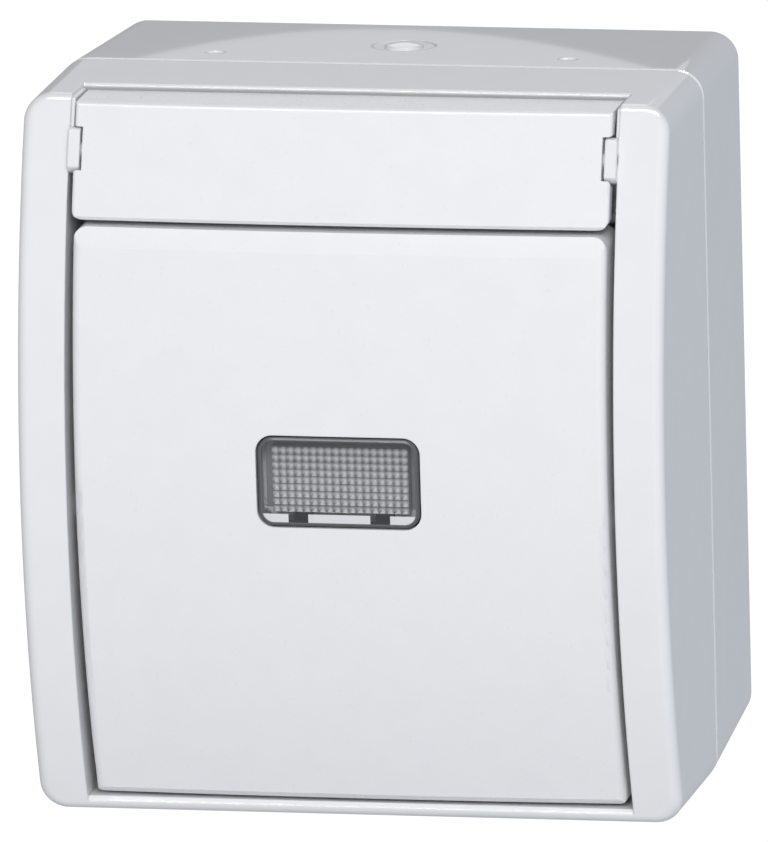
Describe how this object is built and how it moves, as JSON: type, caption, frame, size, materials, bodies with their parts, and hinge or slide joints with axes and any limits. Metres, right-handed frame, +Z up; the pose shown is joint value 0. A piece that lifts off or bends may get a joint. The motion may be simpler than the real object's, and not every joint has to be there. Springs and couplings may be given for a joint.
{
  "type": "surface mounted pushbutton switch",
  "caption": "White surface mounted pushbutton switch: tapered back box, curved cover with a tilting rocker, clear indicator lens, and a label flap over the screws.",
  "frame": {"origin": "centre of the back face, on the wall", "axes": "+Z up the wall, +Y into the wall, so the front faces -Y; +X to the right as seen from the front"},
  "size_m": [0.075, 0.0558, 0.0834],
  "materials": {
    "housing_white": "gloss, moulded",
    "rocker_white": "gloss, moulded",
    "seal_rubber": "matt",
    "screw_steel": "plated",
    "card_white": "matt",
    "lens_clear": "clear plastic, smoky",
    "insert_grey": "matt, moulded",
    "plunger_white": "satin",
    "spring_steel": "drawn wire",
    "contact_brass": "stamped",
    "contact_silver": "polished",
    "lamp_glass": "clear",
    "lead_copper": "drawn wire"
  },
  "bodies": {
    "housing": {"base_box": "housing_white", "seam_gasket": "seal_rubber", "cover_frame": "housing_white", "cover_screws": "screw_steel", "label_card": "card_white", "insert_body": "insert_grey", "insert_plate": "insert_grey", "insert_screws": "screw_steel", "insert_seal": "seal_rubber", "return_spring": "spring_steel", "fixed_contact_left": "contact_brass", "fixed_contact_right": "contact_brass", "fixed_rivets": "contact_silver", "terminal_left": "contact_brass", "terminal_right": "contact_brass", "terminal_neutral": "contact_brass", "terminal_screws": "screw_steel", "lamp_holder": "plunger_white", "lamp_glass": "lamp_glass", "lamp_leads": "lead_copper"},
    "rocker_unit": {"rocker": "rocker_white", "lens": "lens_clear"},
    "plunger_unit": {"plunger": "plunger_white", "contact_bridge": "contact_brass", "moving_rivets": "contact_silver"},
    "flap_unit": {"label_flap": "rocker_white"}
  },
  "joints": [
    {"name": "rocker_tilt", "type": "hinge", "parent": "housing", "child": "rocker_unit", "pos_m": [0, -0.0468, -0.00605], "axis": [-1, 0, 0], "range_deg": [0, 4], "stiffness_Nm_per_rad": 0.8, "springref_deg": -3.44},
    {"name": "plunger_slide", "type": "slide", "parent": "housing", "child": "plunger_unit", "axis": [0, 1, 0], "range_m": [0, 0.00115], "deforming": ["return_spring"]},
    {"name": "flap_hinge", "type": "hinge", "parent": "housing", "child": "flap_unit", "pos_m": [0, -0.0482, 0.0356], "axis": [-1, 0, 0], "range_deg": [0, 90]}
  ],
  "couplings": [
    {"joint": "plunger_slide", "follows": "rocker_tilt", "m_per_rad": 0.0162}
  ]
}
